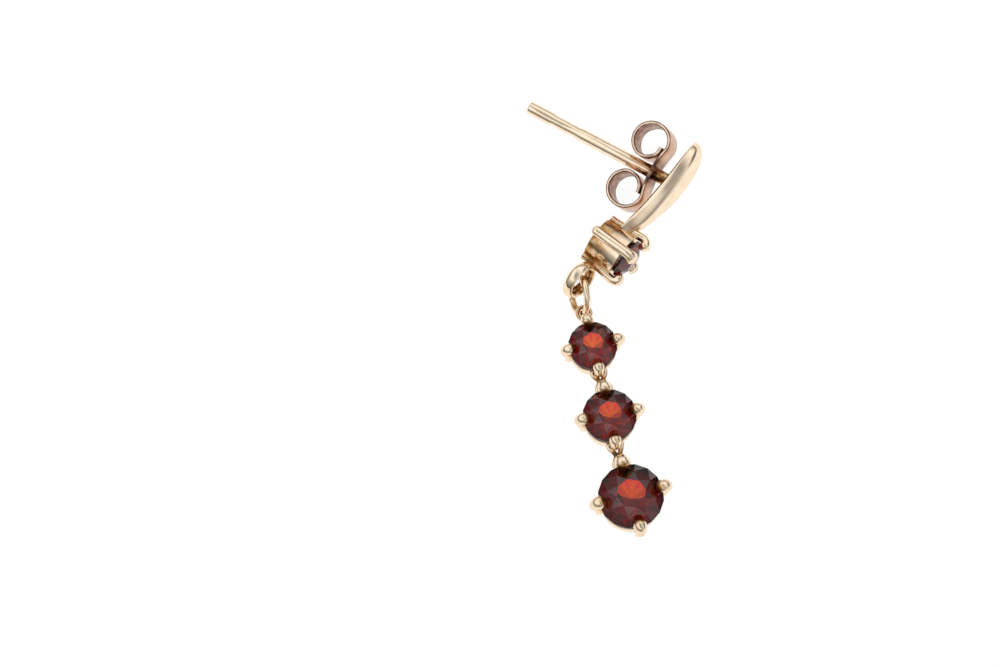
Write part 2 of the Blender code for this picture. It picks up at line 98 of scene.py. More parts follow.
BAR_THICKNESS = 0.00118
BAR_SAG = 0.00026
BAR_BELOW_POST = 0.00418
BAR_ABOVE_POST = 0.00290
BAR_COLUMNS = ("along", "width", "thickness", "wall")
BAR_ROWS = (
    (0.000, 0.42, 0.66, 0.16),
    (0.100, 0.46, 0.78, 0.17),
    (0.220, 0.57, 0.89, 0.20),
    (0.360, 0.73, 0.96, 0.24),
    (0.500, 0.87, 1.00, 0.28),
    (0.640, 0.97, 0.99, 0.32),
    (0.760, 1.00, 0.94, 0.36),
    (0.860, 0.93, 0.85, 0.40),
    (0.930, 0.78, 0.72, 0.42),
    (0.975, 0.54, 0.55, 0.44),
    (1.000, 0.22, 0.34, 0.46),
)
STUD_HEADING = 48.7
STUD_PITCH = 3.9
POST_DIAMETER = 0.0008
POST_LENGTH = 0.0098
POST_ROOT = 0.0003
POST_LEAN = 11.5
POST_DIP = 2.0
POST_CHAMFER = 0.00010
NOTCH_DIAMETER = 0.00070
NOTCH_FROM_TIP = 0.00165
NOTCH_LENGTH = 0.0020
NOTCH_RAMP = 0.00015
CLASP_STRIP = 0.00028
CLASP_THIN = 0.00007
CLASP_WIDTH = 0.0030
CLASP_ROLL_DIAMETER = 0.00242
CLASP_BOW = 0.00022
CLASP_TUCK = 0.00034
CLASP_TURN = 352.0
CLASP_STANDOFF = 0.00064
CLASP_ROTATION = -11.0

# Claws and collars
TIP_SWELL = 1.10
UPPER_SWELL = 1.16
TIP_REACH = 0.86
TIP_RINGS = 6
TIP_POINT = 0.02
FOOT_RINGS = 7
FOOT_POINT = 0.04
CLAW_STEPS = 5
COLLAR_SOFT = 0.00006
COLLAR_SIDES = 96
TOP_CLAW_WIDE = 1.22
TOP_FOOT_REACH = 0.00032
TOP_LIP = 0.00036
LIP_FLARE = 0.3

# Stones: bevels, and the painted shade on a crown
STONE_BEVEL = 0.000010
TABLE_MARGIN = 0.000002
STONE_CROWN_SHADE = 0.38
TOP_STONE_CROWN_SHADE = 0.10
STONE_UPPER_SHADE = 0.36

# Links and rings
LINK_PINCH = 0.000080
LINK_POINTS = 96
LINK_SIDES = 16
LINK_SMOOTHINGS = 4
RING_POINTS = 64
WIRE_SIDES = 20

# Bar, post and butterfly back
BAR_STEPS = 90
BAR_STEP_GROWTH = 1.35
BAR_SOFT = 0.00018
BAR_SOFT_STEPS = 8
BAR_ARC_STEPS = 40
POST_SIDES = 96
POST_TIP_STEPS = 6
POST_STAIN_LEVELS = (0.0020, 0.0016, 0.0012, 0.0009)
NEAR_AXIS = 0.00001
PLATE_STEPS = 14
ROLL_STEPS = 84
ROLL_SETTLED = 250.0
STRIP_SOFT = 0.00004
SAME = 0.0000001

# Uneven surfaces, in cells a metre
BROAD_SCALE = 1400.0
PATCH_SCALE = 2400.0
FINE_SCALE = 9000.0
SCRATCH_SCALE = 5200.0
CLOUD_SCALE = 900.0
WEAR_SCALE = 7000.0

# Garnet
GARNET_PALE = (0.80, 0.180, 0.020, 1.0)
GARNET_WARM = (0.90, 0.240, 0.030, 1.0)
# The crown and rim colours are painted shade.
GARNET_CROWN_SHADE = (0.72, 0.020, 0.050, 1.0)
GARNET_RIM_SHADE = (0.022, 0.0015, 0.004, 1.0)
GARNET_DYE = (0.66, 0.24, 0.06, 1.0)
GARNET_DYE_DENSITY = 800.0
GARNET_IOR = 1.72

# Table and light
WHITE = (1.0, 1.0, 1.0, 1.0)
TABLE_GREY = (0.14, 0.14, 0.14, 1.0)
TABLE_SIZE = 0.6
TABLE_DROP = 0.00001
GLOW_INNER = 0.0012
GLOW_OUTER = 0.0014
GLOW_AT_DROP = 1.32
GLOW_ELSEWHERE = 0.94
TENT_STRENGTH = 1.15
LANE_SLOPE = 0.88


def rows(columns, table):
    return [dict(zip(columns, row)) for row in table]


def turned(angle, x, y):
    a = math.radians(angle)
    return Vector((x * math.cos(a) - y * math.sin(a), x * math.sin(a) + y * math.cos(a), 0.0))


def place_at(location, degrees=(0.0, 0.0, 0.0)):
    turn = Euler([math.radians(angle) for angle in degrees])
    return Matrix.LocRotScale(Vector(location), turn, None)


def smooth_step(low, high, value):
    share = min(1.0, max(0.0, (value - low) / (high - low)))
    return share * share * (3 - 2 * share)


# Where things are
def claw_middle(stone, claw_wire):
    return stone / 2 + STONE_GAP + claw_wire / 2


def claw_foot(diameter, claw_wire):
    return diameter / 2 * COLLAR_TAPER + claw_wire / 2 - SOLDER_BITE


def claw_face(stone, claw_wire, diameter, height, girdle_height, level):
    """How far a claw's outer face is from the axis, at a level above the back edge."""
    foot = claw_foot(diameter, claw_wire)
    upright = height * CLAW_UPRIGHT
    share = (level - upright) / (girdle_height - upright)
    return foot + (claw_middle(stone, claw_wire) - foot) * share + claw_wire / 2


drop_girdle = DROP_COLLAR_HEIGHT + DROP_GIRDLE_RISE
drops = rows(DROP_COLUMNS, DROP_ROWS)
place = Vector((0.0, 0.0, 0.0))
for i, drop in enumerate(drops):
    reach = claw_middle(drop["stone"], drop["claw_wire"])
    if i > 0:
        above = drops[i - 1]
        place = above["lower_claw"] + turned(drop["link_angle"], 0.0, -drop["claw_distance"])
        place = place - turned(drop["turn"], 0.0, reach)
    drop["place"] = place
    drop["upper_claw"] = place + turned(drop["turn"], 0.0, reach)
    drop["lower_claw"] = place + turned(drop["turn"], 0.0, -reach)

low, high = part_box("drop_stone_1")
origin = Matrix.Translation(((low[0] + high[0]) / 2, (low[1] + high[1]) / 2, 0.0))
for drop in drops:
    drop["at"] = origin @ place_at(drop["place"], (0.0, 0.0, drop["turn"]))

first = drops[0]
eye_diameter = JUMP_RING_WIRE + 2 * RING_GAP + 2 * EYE_WIRE
eye_seat = claw_face(
    first["stone"], first["claw_wire"], first["collar"], DROP_COLLAR_HEIGHT, drop_girdle, EYE_HEIGHT
)
eye_reach = eye_seat - SOLDER_BITE + eye_diameter / 2

jump_radius = (JUMP_RING_DIAMETER - JUMP_RING_WIRE) / 2
jump_place = first["place"] + turned(first["turn"], EYE_ASIDE, eye_reach)
jump_place = jump_place + turned(JUMP_RING_HEADING, 0.0, jump_radius)
jump_place.z = jump_radius * math.cos(math.radians(JUMP_RING_LEAN)) + JUMP_RING_WIRE / 2
jump_at = origin @ place_at(jump_place, (0.0, 90.0 + JUMP_RING_LEAN, JUMP_RING_HEADING))

top_reach = claw_middle(TOP_STONE, TOP_CLAW_WIRE)
setting_along = -(BAR_BELOW_POST + TOP_COLLAR_DIAMETER / 2 - SOLDER_BITE / 2)
top_ring_radius = (TOP_RING_DIAMETER - TOP_RING_WIRE) / 2
top_girdle = TOP_COLLAR_HEIGHT + TOP_GIRDLE_RISE
top_ring_level = TOP_SETTING_BACK - TOP_RING_BACK
top_ring_seat = claw_face(
    TOP_STONE, TOP_CLAW_WIRE, TOP_COLLAR_DIAMETER, TOP_COLLAR_HEIGHT, top_girdle, top_ring_level
)
top_ring_end = turned(TOP_SETTING_TURN, -top_ring_seat, -top_ring_level)
top_ring_along = setting_along + top_ring_end.x - TOP_RING_DIAMETER / 2 + SOLDER_BITE
pitch = math.radians(STUD_PITCH)
claw_rest = top_reach + TOP_CLAW_WIRE / 2 - setting_along * math.sin(pitch)
clasp_tilt = math.radians(-CLASP_ROTATION)
clasp_reach = POST_DIAMETER / 2 + CLASP_GAP + CLASP_ROLL_DIAMETER
clasp_middle = CLASP_STANDOFF + CLASP_ROLL_DIAMETER / 2
clasp_rest = (
    CLASP_WIDTH / 2 * math.cos(clasp_tilt)
    + clasp_reach * math.sin(clasp_tilt + pitch)
    + clasp_middle * math.sin(math.radians(POST_DIP + POST_LEAN * pitch))
)
rings = jump_radius + top_ring_radius
ring_place = jump_place + Vector((RINGS_ACROSS * rings, RINGS_ALONG * rings, 0.0))
stud_place = ring_place - turned(STUD_HEADING, top_ring_along * math.cos(pitch), TOP_RING_BACK)
stud_place.z = max(claw_rest, clasp_rest)
stud_at = origin @ place_at(stud_place, (0.0, -STUD_PITCH, STUD_HEADING))
post_at = stud_at @ place_at((0.0, 0.0, 0.0), (-90.0 - POST_DIP, 0.0, POST_LEAN))
top_at = stud_at @ place_at((setting_along, TOP_SETTING_BACK, 0.0), (90.0, 0.0, TOP_SETTING_TURN))
top_ring_at = stud_at @ place_at(
    (top_ring_along, TOP_RING_BACK, TOP_RING_RISE), (90.0 - TOP_RING_LEAN, 0.0, 0.0)
)
clasp_height = CLASP_STANDOFF + CLASP_STRIP / 2
clasp_at = post_at @ place_at((0.0, 0.0, clasp_height), (0.0, 0.0, CLASP_ROTATION))


# Materials
class Nodes:
    """Short calls for making a node tree."""

    def __init__(self, tree):
        self.tree = tree
        tree.nodes.clear()

    def add(self, kind, **values):
        node = self.tree.nodes.new(kind)
        for key, value in values.items():
            setattr(node, key, value)
        return node

    def link(self, out, into):
        self.tree.links.new(out, into)

    def put(self, socket, value):
        if isinstance(value, bpy.types.NodeSocket):
            self.link(value, socket)
        else:
            socket.default_value = value

    def math(self, operation, one, two=0.0, clamp=False):
        node = self.add("ShaderNodeMath", operation=operation, use_clamp=clamp)
        self.put(node.inputs[0], one)
        self.put(node.inputs[1], two)
        return node.outputs[0]

    def noise(self, vector, scale, detail=3.0, rough=0.5):
        node = self.add("ShaderNodeTexNoise")
        self.link(vector, node.inputs["Vector"])
        node.inputs["Scale"].default_value = scale
        node.inputs["Detail"].default_value = detail
        node.inputs["Roughness"].default_value = rough
        return node.outputs["Fac"]

    def span(self, value, low, high, to_low, to_high):
        node = self.add("ShaderNodeMapRange")
        self.put(node.inputs["Value"], value)
        node.inputs["From Min"].default_value = low
        node.inputs["From Max"].default_value = high
        node.inputs["To Min"].default_value = to_low
        node.inputs["To Max"].default_value = to_high
        return node.outputs["Result"]

    def mix(self, share, one, two):
        node = self.add("ShaderNodeMix", data_type="RGBA")
        self.put(node.inputs["Factor"], share)
        # The colour sockets of a Mix node come after its float and vector ones.
        self.put(node.inputs[6], one)
        self.put(node.inputs[7], two)
        return node.outputs[2]


def new_material(name):
    """A material with one surface shader, and what is needed to fill it in."""
    material = bpy.data.materials.new(name)
    material.use_nodes = True
    n = Nodes(material.node_tree)
    out = n.add("ShaderNodeOutputMaterial")
    shader = n.add("ShaderNodeBsdfPrincipled")
    n.link(shader.outputs["BSDF"], out.inputs["Surface"])
    return material, n, out, shader


def gold_material(name, light, deep, tarnish_and_shade, soot_and_shade, edge, rough, scratch):
    """Polished old gold: uneven colour, fine wear lines, and brown tarnish with painted shade in
    hollows.
    """
    material, n, _, shader = new_material(name)
    spot = n.add("ShaderNodeTexCoord").outputs["Object"]
    # The attribute is tarnish, and also painted shade inside collars, rings and rolls, at link
    # waists and near the clasp hole.
    dirt_and_shade = n.add("ShaderNodeAttribute", attribute_name="tarnish_and_shade").outputs["Fac"]
    broad = n.noise(spot, BROAD_SCALE, 3.0)
    fine = n.noise(spot, FINE_SCALE, 4.0, 0.6)
    base = n.mix(n.span(broad, 0.3, 0.7, 0.0, 1.0), (*deep, 1.0), (*light, 1.0))
    patchy = n.noise(spot, PATCH_SCALE, 2.0, 0.5)
    stain_and_shade = n.math("MULTIPLY", dirt_and_shade, n.span(patchy, 0.35, 0.62, 0.45, 1.15), clamp=True)
    brown = n.mix(n.span(stain_and_shade, 0.55, 1.0, 0.0, 1.0), (*tarnish_and_shade, 1.0), (*soot_and_shade, 1.0))
    n.link(n.mix(n.span(stain_and_shade, 0.0, 0.6, 0.0, 1.0), base, brown), shader.inputs["Base Color"])
    shader.inputs["Metallic"].default_value = 1.0
    shader.inputs["Specular Tint"].default_value = (*edge, 1.0)
    worn = n.span(fine, 0.25, 0.75, rough * 0.7, rough * 1.5)
    n.link(n.math("ADD", worn, n.math("MULTIPLY", stain_and_shade, 0.16)), shader.inputs["Roughness"])
    wide = n.add("ShaderNodeMapping")
    n.link(spot, wide.inputs["Vector"])
    wide.inputs["Scale"].default_value = (1.0, 1.0, 7.0)
    wide.inputs["Rotation"].default_value = (0.6, 0.5, 0.3)
    lines = n.noise(wide.outputs["Vector"], SCRATCH_SCALE, 2.0, 0.7)
    relief = n.math("ADD", n.math("MULTIPLY", lines, 0.5), fine)
    bump = n.add("ShaderNodeBump")
    bump.inputs["Strength"].default_value = scratch
    bump.inputs["Distance"].default_value = 0.00001
    n.link(relief, bump.inputs["Height"])
    n.link(bump.outputs["Normal"], shader.inputs["Normal"])
    return material


def garnet_material(name):
    """Cut garnet: orange through the table, with painted shade that makes the crown red and the rim
    dark.
    """
    material, n, out, shader = new_material(name)
    spot = n.add("ShaderNodeTexCoord").outputs["Object"]
    cloud = n.noise(spot, CLOUD_SCALE, 2.0)
    # This attribute is painted shade: none on the table, more on the crown's upper side, darkest at
    # the girdle.
    painted_stone_shade = n.add("ShaderNodeAttribute", attribute_name="tarnish_and_shade").outputs["Fac"]
    body = n.mix(n.span(cloud, 0.35, 0.65, 0.0, 1.0), GARNET_PALE, GARNET_WARM)
    painted_crown_shade = n.mix(n.span(painted_stone_shade, 0.0, 0.3, 0.0, 1.0), body, GARNET_CROWN_SHADE)
    body_with_painted_shade = n.mix(n.span(painted_stone_shade, 0.35, 1.0, 0.0, 1.0), painted_crown_shade, GARNET_RIM_SHADE)
    n.link(body_with_painted_shade, shader.inputs["Base Color"])
    wear = n.noise(spot, WEAR_SCALE, 3.0, 0.6)
    n.link(n.span(wear, 0.45, 0.8, 0.0, 0.06), shader.inputs["Roughness"])
    shader.inputs["IOR"].default_value = GARNET_IOR
    shader.inputs["Transmission Weight"].default_value = 1.0
    dye = n.add("ShaderNodeVolumeAbsorption")
    dye.inputs["Color"].default_value = GARNET_DYE
    dye.inputs["Density"].default_value = GARNET_DYE_DENSITY
    n.link(dye.outputs["Volume"], out.inputs["Volume"])
    return material


GOLD = gold_material(
    "gold", light=(0.97, 0.82, 0.63), deep=(0.87, 0.69, 0.49), tarnish_and_shade=(0.50, 0.25, 0.08),
    soot_and_shade=(0.13, 0.065, 0.03), edge=(1.0, 0.93, 0.84), rough=0.11, scratch=0.25,
)
ROSE = gold_material(
    "clasp_gold", light=(0.95, 0.76, 0.58), deep=(0.84, 0.60, 0.44), tarnish_and_shade=(0.31, 0.170, 0.130),
    soot_and_shade=(0.10, 0.05, 0.04), edge=(0.82, 0.66, 0.58), rough=0.12, scratch=0.25,
)
GARNET = garnet_material("garnet")


# Mesh helpers
def add_piece(name, bm, at, material, body, smooth=True, tarnish_and_shade=None, node=None):
    """Makes a piece from a mesh in its own frame. tarnish gives a share from a point there."""
    bmesh.ops.recalc_face_normals(bm, faces=bm.faces)
    mesh = bpy.data.meshes.new(name)
    bm.to_mesh(mesh)
    bm.free()
    if tarnish_and_shade is not None:
        layer = mesh.attributes.new("tarnish_and_shade", "FLOAT", "POINT")
        layer.data.foreach_set("value", [tarnish_and_shade(vertex.co) for vertex in mesh.vertices])
    mesh.transform(at)
    if smooth:
        mesh.shade_smooth()
        mesh.set_sharp_from_angle(angle=math.radians(50))
    piece = bpy.data.objects.new(name, mesh)
    bpy.context.scene.collection.objects.link(piece)
    mesh.materials.append(material)
    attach(piece, body)
    if node:
        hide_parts(node)


def dent(bm, size, depth, seed):
    """Small hand-made unevenness. size is the width of a dent."""
    shift = Vector((seed * 7.3, seed * 3.1, seed * 5.7))
    bm.normal_update()
    moves = []
    for vertex in bm.verts:
        moves.append(vertex.normal * depth * noise.noise(vertex.co / size + shift))
    for vertex, move in zip(bm.verts, moves):
        vertex.co += move


def through(points, radii, steps):
    """A smooth path through the points, with a radius at each."""
    made, sizes = [], []
    count = len(points)
    for i in range(count - 1):
        p0 = points[max(i - 1, 0)]
        p1, p2 = points[i], points[i + 1]
        p3 = points[min(i + 2, count - 1)]
        for k in range(steps):
            t = k / steps
            made.append(
                0.5 * (2 * p1 + (p2 - p0) * t + (2 * p0 - 5 * p1 + 4 * p2 - p3) * t * t
                       + (3 * p1 - 3 * p2 + p3 - p0) * t ** 3)
            )
            sizes.append(radii[i] + (radii[i + 1] - radii[i]) * smooth_step(0.0, 1.0, t))
    made.append(points[-1])
    sizes.append(radii[-1])
    return made, sizes


def sweep(bm, points, radii, up, sides=WIRE_SIDES, closed=False, wide=1.0):
    """A wire along a flat path. up is square to the path's plane, and wide stretches it there."""
    count = len(points)
    loops = []
    for i, (point, radius) in enumerate(zip(points, radii)):
        before = points[(i - 1) % count] if closed or i > 0 else point
        after = points[(i + 1) % count] if closed or i < count - 1 else point
        along = (after - before).normalized()
        aside = along.cross(up).normalized()
        loop = []
        for j in range(sides):
            a = 2 * math.pi * j / sides
            loop.append(bm.verts.new(
                point + aside * radius * math.cos(a) + up * radius * wide * math.sin(a)
            ))
        loops.append(loop)
    pairs = list(zip(loops, loops[1:]))
    if closed:
        pairs.append((loops[-1], loops[0]))
    for one, two in pairs:
        for j in range(sides):
            k = (j + 1) % sides
            bm.faces.new((one[j], two[j], two[k], one[k]))
    if not closed:
        bm.faces.new(loops[0])
        bm.faces.new(loops[-1])


def lathe(bm, outline, sides, closed=True):
    """An outline of (radius, height) turned about Z."""
    loops = []
    for i in range(sides):
        c, s = math.cos(2 * math.pi * i / sides), math.sin(2 * math.pi * i / sides)
        loop = []
        for x, z in outline:
            loop.append(bm.verts.new(Vector((x * c, x * s, z))))
        loops.append(loop)
    count = len(outline)
    for i in range(sides):
        one, two = loops[i], loops[(i + 1) % sides]
        for j in range(count if closed else count - 1):
            k = (j + 1) % count
            bm.faces.new((one[j], two[j], two[k], one[k]))
    if not closed:
        bm.faces.new([loop[0] for loop in loops])
        bm.faces.new([loop[-1] for loop in loops])


def skin(bm, loops):
    """Joins loops of the same length into a bar with flat ends."""
    count = len(loops[0])
    for one, two in zip(loops, loops[1:]):
        for i in range(count):
            j = (i + 1) % count
            bm.faces.new((one[i], one[j], two[j], two[i]))
    bm.faces.new(loops[0])
    bm.faces.new(loops[-1])


def rounded(corners, radius, steps=4):
    """A closed outline with its corners rounded."""
    made = []
    count = len(corners)
    for i, corner in enumerate(corners):
        here = Vector(corner)
        back = (Vector(corners[i - 1]) - here).normalized()
        ahead = (Vector(corners[(i + 1) % count]) - here).normalized()
        start, end = here + back * radius, here + ahead * radius
        for k in range(steps + 1):
            t = k / steps
            made.append(start * (1 - t) ** 2 + here * 2 * t * (1 - t) + end * t * t)
    return [tuple(point) for point in made]


# Stones
def stone_heights(diameter):
    """The girdle's upper edge, the table and the culet, from the girdle's middle."""
    radius = diameter / 2
    girdle = STONE_GIRDLE * diameter / 2
    table = girdle + radius * (1 - STONE_TABLE) * math.tan(math.radians(CROWN_ANGLE))
    culet = -girdle - radius * math.tan(math.radians(PAVILION_ANGLE))
    return girdle, table, culet


def brilliant(name, diameter, at, height, deep=STONE_CROWN_SHADE):
    """A round cut stone. deep says how dark the painted shade on its crown is, and its upper side
    gets more painted shade.
    """
    radius = diameter / 2
    girdle, table, culet = stone_heights(diameter)
    half_step = 2 * math.pi / STONE_SIDES
    slant = math.cos(half_step)
    table_radius = STONE_TABLE * radius
    break_radius = CROWN_BREAK * radius
    fall = (break_radius * slant - table_radius) / (radius - table_radius)
    break_height = table + (girdle - table) * fall
    low_radius = PAVILION_BREAK * radius
    low_height = -girdle + (culet + girdle) * (1 - low_radius * slant / radius)
    bm = bmesh.new()
    for i in range(STONE_SIDES):
        c, s = math.cos(i * half_step), math.sin(i * half_step)
        bm.verts.new((radius * c, radius * s, height + girdle))
        bm.verts.new((radius * c, radius * s, height - girdle))
        if i % 2 == 0:
            bm.verts.new((table_radius * c, table_radius * s, height + table))
        else:
            bm.verts.new((break_radius * c, break_radius * s, height + break_height))
            bm.verts.new((low_radius * c, low_radius * s, height + low_height))
    bm.verts.new((0, 0, height + culet))
    bmesh.ops.convex_hull(bm, input=bm.verts)
    flat = math.radians(0.3)
    bmesh.ops.dissolve_limit(bm, angle_limit=flat, verts=bm.verts, edges=bm.edges)
    bmesh.ops.bevel(
        bm, geom=list(bm.edges), offset=STONE_BEVEL, offset_type="OFFSET",
        segments=1, profile=0.5, affect="EDGES", clamp_overlap=True,
    )

    # Painted shade on the stone, darkest at the girdle.
    def painted_stone_shade(co):
        out = math.hypot(co.x, co.y) / radius
        if co.z > height + table - TABLE_MARGIN:
            return 0.0
        if co.z > height:
            painted_crown_shade = deep + STONE_UPPER_SHADE * co.y / radius
            return painted_crown_shade + (1.0 - painted_crown_shade) * smooth_step(0.75, 1.0, out)
        return smooth_step(0.75, 0.98, out)

    add_piece(
        name, bm, at, GARNET, "earring", smooth=False, tarnish_and_shade=painted_stone_shade,
        node=name.replace("cut_", ""),
    )


# Settings
def claw_path(stone, claw_wire, claw_tip, diameter, height, girdle_height):
    """A claw's centre line from its foot over the stone's edge, with a radius at each point."""
    radius, tip = claw_wire / 2, claw_tip / 2 * TIP_SWELL
    edge = stone_heights(stone)[0]
    corner = Vector((stone / 2, 0.0, girdle_height + edge))
    foot = claw_foot(diameter, claw_wire)
    beside = claw_middle(stone, claw_wire)
    path = [
        Vector((foot, 0.0, CLAW_FOOT)),
        Vector((foot, 0.0, height * CLAW_UPRIGHT)),
        Vector((beside, 0.0, girdle_height - edge)),
    ]
    radii = [radius] * 3
    for i in range(CLAW_STEPS + 1):
        share = i / CLAW_STEPS
        angle = math.radians(CLAW_TIP_TURN * share)
        size = radius + (tip - radius) * smooth_step(0.0, 1.0, share)
        path.append(corner + Vector((math.cos(angle), 0.0, math.sin(angle))) * (size + STONE_GAP))
        radii.append(size)
    slope = math.radians(CROWN_ANGLE)
    inward = Vector((-math.cos(slope), 0.0, math.sin(slope)))
    last = path[-1]
    for k in range(1, TIP_RINGS + 1):
        turn = math.pi / 2 * k / TIP_RINGS
        path.append(last + inward * tip * TIP_REACH * math.sin(turn))
        radii.append(max(tip * math.cos(turn), tip * TIP_POINT))
    return path, radii


def upper_sizes(sizes, radius):
    """The radii of an upper claw, whose round end is larger than the others'."""
    last = len(sizes) - TIP_RINGS
    made = []
    for k, size in enumerate(sizes):
        share = smooth_step(radius, 1.5 * radius, size) if k < last else 1.0
        made.append(size * (1 + (UPPER_SWELL - 1) * share))
    return made


def make_setting(name, at, stone, claw_wire, claw_tip, diameter, height, girdle_height, seed,
                 tarnish_and_shade, node=None, wide=1.0, long_foot=0.0, lip=0.0):
    """A collar with four claws. lip raises the collar's front edge and flares it.

    The claw at +Y has a larger round end, or else a foot that reaches past the back edge.
    """
    bm = bmesh.new()
    outer, flare = diameter / 2, lip * LIP_FLARE
    corners = (
        (outer + flare, height + lip),
        (outer * COLLAR_TAPER, 0.0),
        (outer * COLLAR_TAPER - COLLAR_WALL, 0.0),
        (outer - COLLAR_WALL + flare, height + lip),
    )
    lathe(bm, rounded(corners, COLLAR_SOFT), COLLAR_SIDES)
    path, radii = claw_path(stone, claw_wire, claw_tip, diameter, height, girdle_height)
    bend = len(path) - TIP_RINGS
    points, sizes = through(path[:bend], radii[:bend], CLAW_STEPS)
    points += path[bend:]
    sizes += radii[bend:]
    radius = claw_wire / 2
    for i in range(4):
        turn = Matrix.Rotation(math.pi / 2 * i, 3, "Z")
        up = turn @ Vector((0.0, 1.0, 0.0))
        line, thick = points, sizes
        if i == 1 and long_foot:
            for k in reversed(range(FOOT_RINGS)):
                a = math.pi / 2 * k / FOOT_RINGS
                below = long_foot - radius + radius * math.cos(a)
                line = [points[0] - Vector((0.0, 0.0, below))] + line
                thick = [radius * max(math.sin(a), FOOT_POINT)] + thick
        elif i == 1:
            thick = upper_sizes(sizes, radius)
        sweep(bm, [turn @ point for point in line], thick, up, wide=wide)
    dent(bm, size=0.00035, depth=0.000014, seed=seed)
    add_piece(name, bm, at, GOLD, "earring", tarnish_and_shade=tarnish_and_shade, node=node)


def collar_tarnish_and_shade(diameter, height, strength):
    """Brown inside the collar, most so near its front edge: tarnish with painted shade in the
    recess. Faint tarnish on the outside.
    """
    def share(co):
        radius = math.hypot(co.x, co.y)
        outer = diameter / 2 * (COLLAR_TAPER + (1 - COLLAR_TAPER) * co.z / height)
        # The inside wall: tarnish with painted shade.
        inside = smooth_step(outer - COLLAR_WALL * 0.3, outer - COLLAR_WALL * 0.9, radius)
        inside *= 0.35 + 0.65 * smooth_step(height * 0.25, height * 0.8, co.z)
        return max(inside, strength * smooth_step(height * 0.3, height, co.z))
    return share


for number, drop in enumerate(drops, 1):
    make_setting(
        f"claw_setting_{number}", drop["at"], drop["stone"], drop["claw_wire"], drop["claw_tip"],
        drop["collar"], DROP_COLLAR_HEIGHT, drop_girdle, number,
        collar_tarnish_and_shade(drop["collar"], DROP_COLLAR_HEIGHT, 0.06), node=f"drop_setting_{number}",
    )
    brilliant(f"cut_drop_stone_{number}", drop["stone"], drop["at"], drop_girdle)


def circle(radius, count):
    angles = [2 * math.pi * k / count for k in range(count)]
    return [Vector((radius * math.cos(a), radius * math.sin(a), 0.0)) for a in angles]


def make_ring(name, diameter, wire_diameter, band, at, seed, outside, inside, node=None):
    """A ring of wire as wide as its band, with the strength of its tarnish and painted shade
    outside and inside it.
    """
    bm = bmesh.new()
    middle = (diameter - wire_diameter) / 2
    sweep(
        bm, circle(middle, RING_POINTS), [wire_diameter / 2] * RING_POINTS, Vector((0, 0, 1)),
        closed=True, wide=band / wire_diameter,
    )
    dent(bm, size=0.0004, depth=0.000012, seed=seed)

    # Darker on the inner faces: tarnish with painted shade.
    def tarnish_and_shade(co):
        depth = middle - math.hypot(co.x, co.y)
        share = smooth_step(-wire_diameter * 0.15, wire_diameter * 0.4, depth)
        return outside + (inside - outside) * share

    add_piece(name, bm, at, GOLD, "earring", tarnish_and_shade=tarnish_and_shade, node=node)


eye_at = first["at"] @ Matrix.Translation((EYE_ASIDE, eye_reach, EYE_HEIGHT))
make_ring(
    "soldered_eye", eye_diameter, EYE_WIRE, EYE_WIRE, eye_at, 11, outside=0.3, inside=0.8,
)
make_ring(
    "upright_ring", JUMP_RING_DIAMETER, JUMP_RING_WIRE, JUMP_RING_WIRE, jump_at, 12,
    outside=0.0, inside=0.5, node="jump_ring",
)
make_ring(
    "soldered_ring", TOP_RING_DIAMETER, TOP_RING_WIRE, TOP_RING_BAND, top_ring_at, 13,
    outside=0.0, inside=0.85,
)


# Pinched links
def link_path(length, lobes):
    """A link's centre line: round at both ends, with strands that nearly touch between."""
    waist = LINK_WAIST / 2 - LINK_PINCH
    points = []
    for k in range(LINK_POINTS):
        angle = 2 * math.pi * (k + 0.5) / LINK_POINTS
        c, s = math.cos(angle), math.sin(angle)
        lobe = lobes[1] if c > 0 else lobes[0]
        x = math.copysign(length / 2, c) * min(1.0, abs(c) * 2.0) + lobe * c * abs(c) ** 0.5
        near = min(1.0, abs(x) / (length / 2))
        side = waist + (lobe - waist) * near ** 1.6
        y = math.copysign(side, s) * min(1.0, abs(s) * 1.25) ** 0.8
        points.append(Vector((x, y, 0.0)))
    for _ in range(LINK_SMOOTHINGS):
        points = [
            (points[k - 1] + points[k] * 2 + points[(k + 1) % LINK_POINTS]) / 4
            for k in range(LINK_POINTS)
        ]
    return points


def make_link(number, upper, lower):
    start, end = upper["lower_claw"], lower["upper_claw"]
    along = end - start
    lobes = [drop["claw_wire"] / 2 + LINK_GAP + LINK_WIRE / 2 for drop in (upper, lower)]
    points = link_path(along.length, lobes)
    middle = (start + end) / 2
    middle.z = drop_girdle - LINK_SINK
    heading = math.degrees(math.atan2(along.y, along.x))
    at = origin @ place_at(middle, (0.0, 0.0, heading))
    bm = bmesh.new()
    sweep(
        bm, points, [LINK_WIRE / 2] * LINK_POINTS, Vector((0, 0, 1)), sides=LINK_SIDES,
        closed=True,
    )
    dent(bm, size=0.0003, depth=0.00001, seed=20 + number)
    # The darkening at the link's waist, between its strands, is painted shade.
    add_piece(
        f"pinched_link_{number}", bm, at, GOLD, "earring",
        tarnish_and_shade=lambda co: 0.9 * smooth_step(0.00042, 0.0001, abs(co.x)), node=f"link_{number}",
    )


for number in range(1, len(drops)):
    make_link(number, drops[number - 1], drops[number])


# Stud
def top_tarnish(co):
    """Brown on the collar's side and round the solder of the top ring."""
    radius = math.hypot(co.x, co.y)
    outside = smooth_step(TOP_COLLAR_HEIGHT + 0.0004, TOP_COLLAR_HEIGHT - 0.0002, co.z)
    on_collar = smooth_step(0.00146, 0.00136, radius)
    solder = smooth_step(0.0010, 0.0004, abs(co.z - 0.0008)) * smooth_step(-0.0010, -0.0014, co.x)
    return max(0.66 * outside * on_collar, 0.75 * solder)


